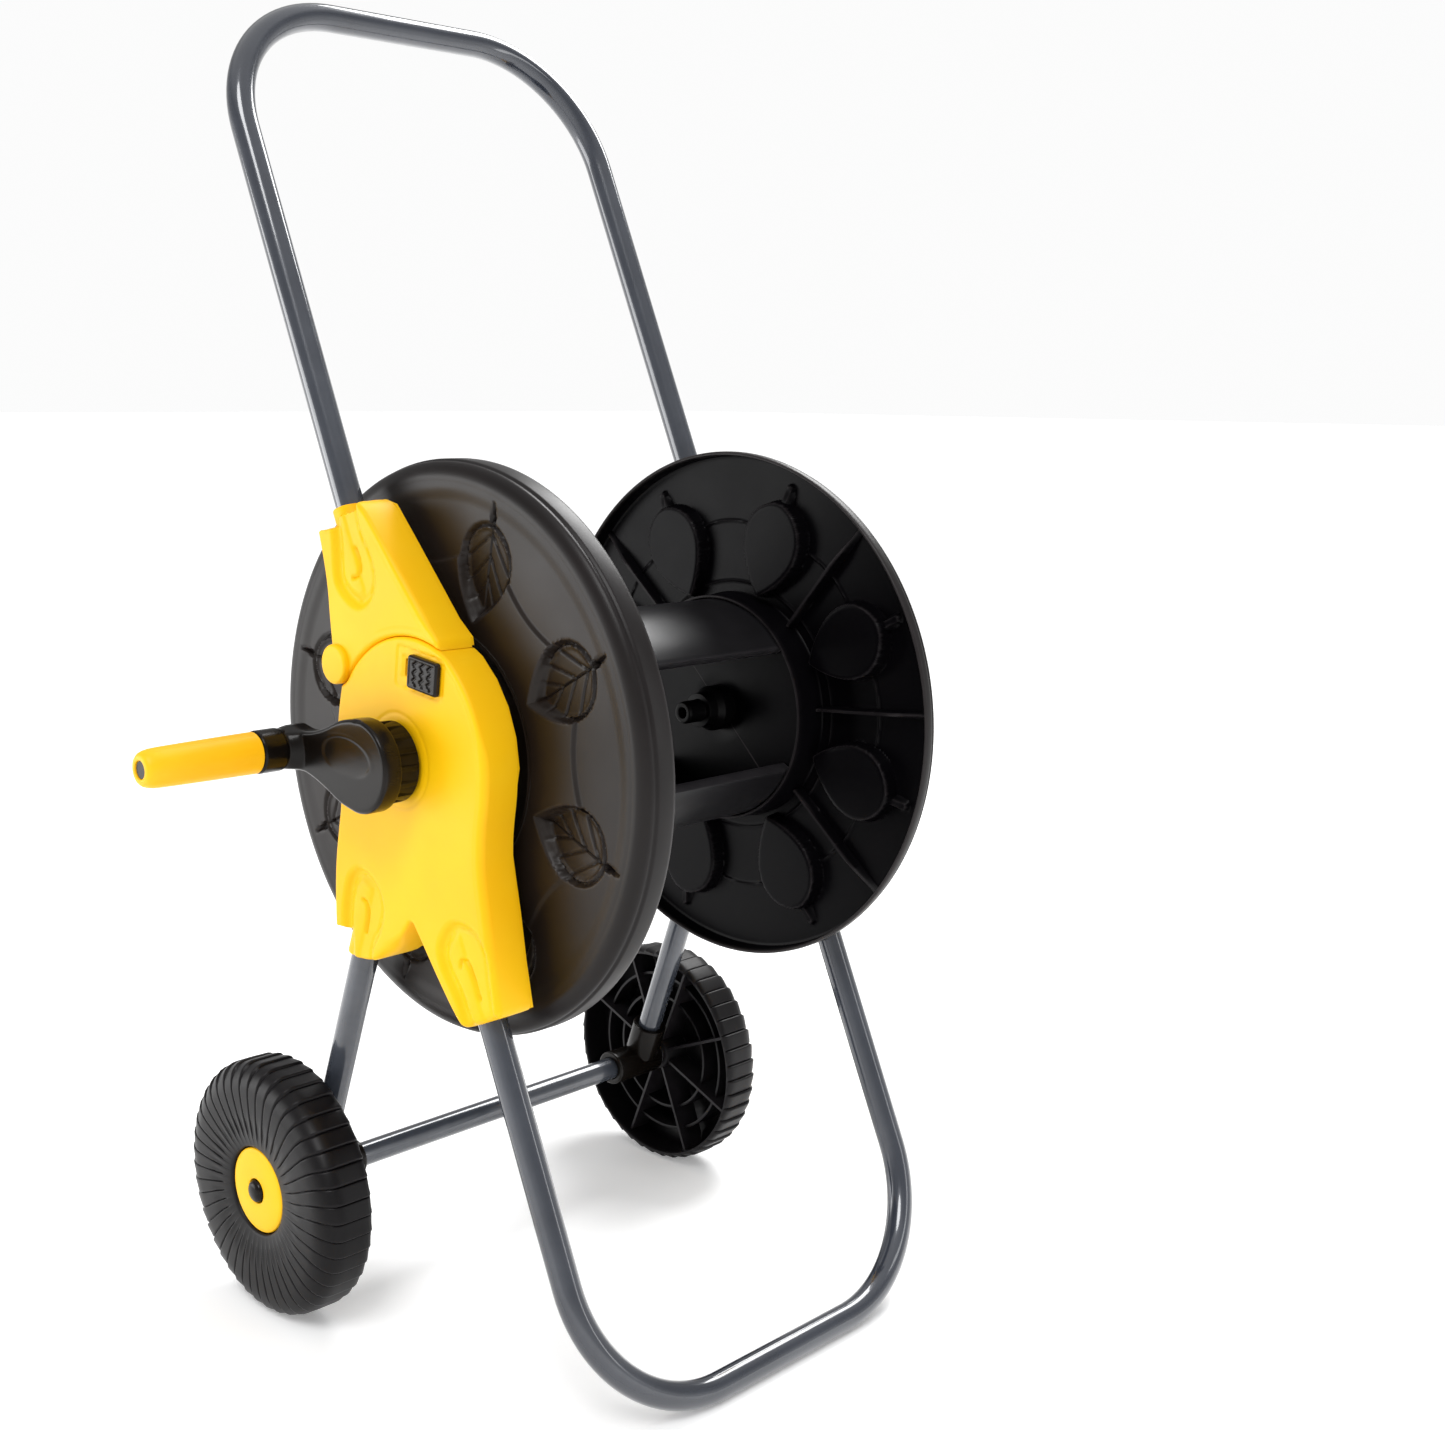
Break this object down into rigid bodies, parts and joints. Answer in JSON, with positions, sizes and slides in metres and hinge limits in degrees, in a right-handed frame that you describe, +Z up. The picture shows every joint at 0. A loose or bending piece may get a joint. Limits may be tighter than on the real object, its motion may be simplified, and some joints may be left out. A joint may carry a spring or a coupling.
{
  "type": "garden hose reel cart",
  "caption": "Wheeled garden hose reel cart: bent tube frame, folding handle, yellow side brackets, a drum between two discs and a hand crank.",
  "frame": {"origin": "middle of the whole outline, on the floor", "axes": "+X along the reel's axis toward the water inlet, with the crank on -X; -Y toward the foot bar, +Y toward the wheels; +Z up"},
  "size_m": [0.536, 0.4099, 0.9006],
  "materials": {
    "yellow": "satin moulded yellow",
    "black": "satin moulded black",
    "disc": "fine grained moulded charcoal",
    "wheel": "satin moulded charcoal",
    "tube": "glossy grey-blue powder coat",
    "steel": "zinc plated",
    "seal": "matt"
  },
  "bodies": {
    "frame": {"foot_tube": "tube", "wheel_leg_left": "tube", "wheel_leg_right": "tube", "cross_tube": "tube", "elbow_left": "black", "elbow_right": "black", "axle_left": "steel", "axle_right": "steel", "axle_dome_left": "black", "axle_dome_right": "black", "washer_left": "steel", "washer_right": "steel", "lower_bracket_left": "yellow", "lower_bracket_right": "yellow", "lower_back_left": "yellow", "lower_back_right": "yellow", "hinge_pin_left": "steel", "hinge_pin_right": "steel", "spindle_bush_left": "black", "spindle_bush_right": "black", "inlet_body": "black", "inlet_nut": "black", "inlet_nipple": "black", "inlet_seal": "seal"},
    "handle": {"handle_tube": "tube", "upper_bracket_left": "yellow", "upper_bracket_right": "yellow", "upper_back_left": "yellow", "upper_back_right": "yellow"},
    "reel": {"disc_left": "disc", "disc_right": "disc", "drum_stave_top": "black", "drum_stave_bottom": "black", "hose_connector": "black", "crank_arm": "black", "crank_spindle": "steel", "grip_pin": "black"},
    "grip": {"crank_grip": "yellow"},
    "wheel_l": {"wheel_left": "wheel", "wheel_cap_left": "yellow"},
    "wheel_r": {"wheel_right": "wheel", "wheel_cap_right": "yellow"},
    "lock_l": {"lock_slider_left": "black"},
    "lock_r": {"lock_slider_right": "black"}
  },
  "joints": [
    {"name": "reel_spin", "type": "hinge", "parent": "frame", "child": "reel", "pos_m": [0.042, -0.01895, 0.4075], "axis": [1, 0, 0], "continuous": true},
    {"name": "grip_spin", "type": "hinge", "parent": "reel", "child": "grip", "pos_m": [-0.228, 0.05505, 0.4095], "axis": [1, 0, 0], "continuous": true},
    {"name": "wheel_left_spin", "type": "hinge", "parent": "frame", "child": "wheel_l", "pos_m": [-0.148, 0.11095, 0.09], "axis": [1, 0, 0], "continuous": true},
    {"name": "wheel_right_spin", "type": "hinge", "parent": "frame", "child": "wheel_r", "pos_m": [0.232, 0.11095, 0.09], "axis": [1, 0, 0], "continuous": true},
    {"name": "handle_fold", "type": "hinge", "parent": "frame", "child": "handle", "pos_m": [0.042, 0.04455, 0.4615], "axis": [-1, 0, 0], "range_deg": [0, 120]},
    {"name": "lock_slide_left", "type": "slide", "parent": "frame", "child": "lock_l", "axis": [0, 0.9925, 0.1219], "range_m": [0, 0.011]},
    {"name": "lock_slide_right", "type": "slide", "parent": "frame", "child": "lock_r", "axis": [0, 0.9925, 0.1219], "range_m": [0, 0.011]}
  ]
}
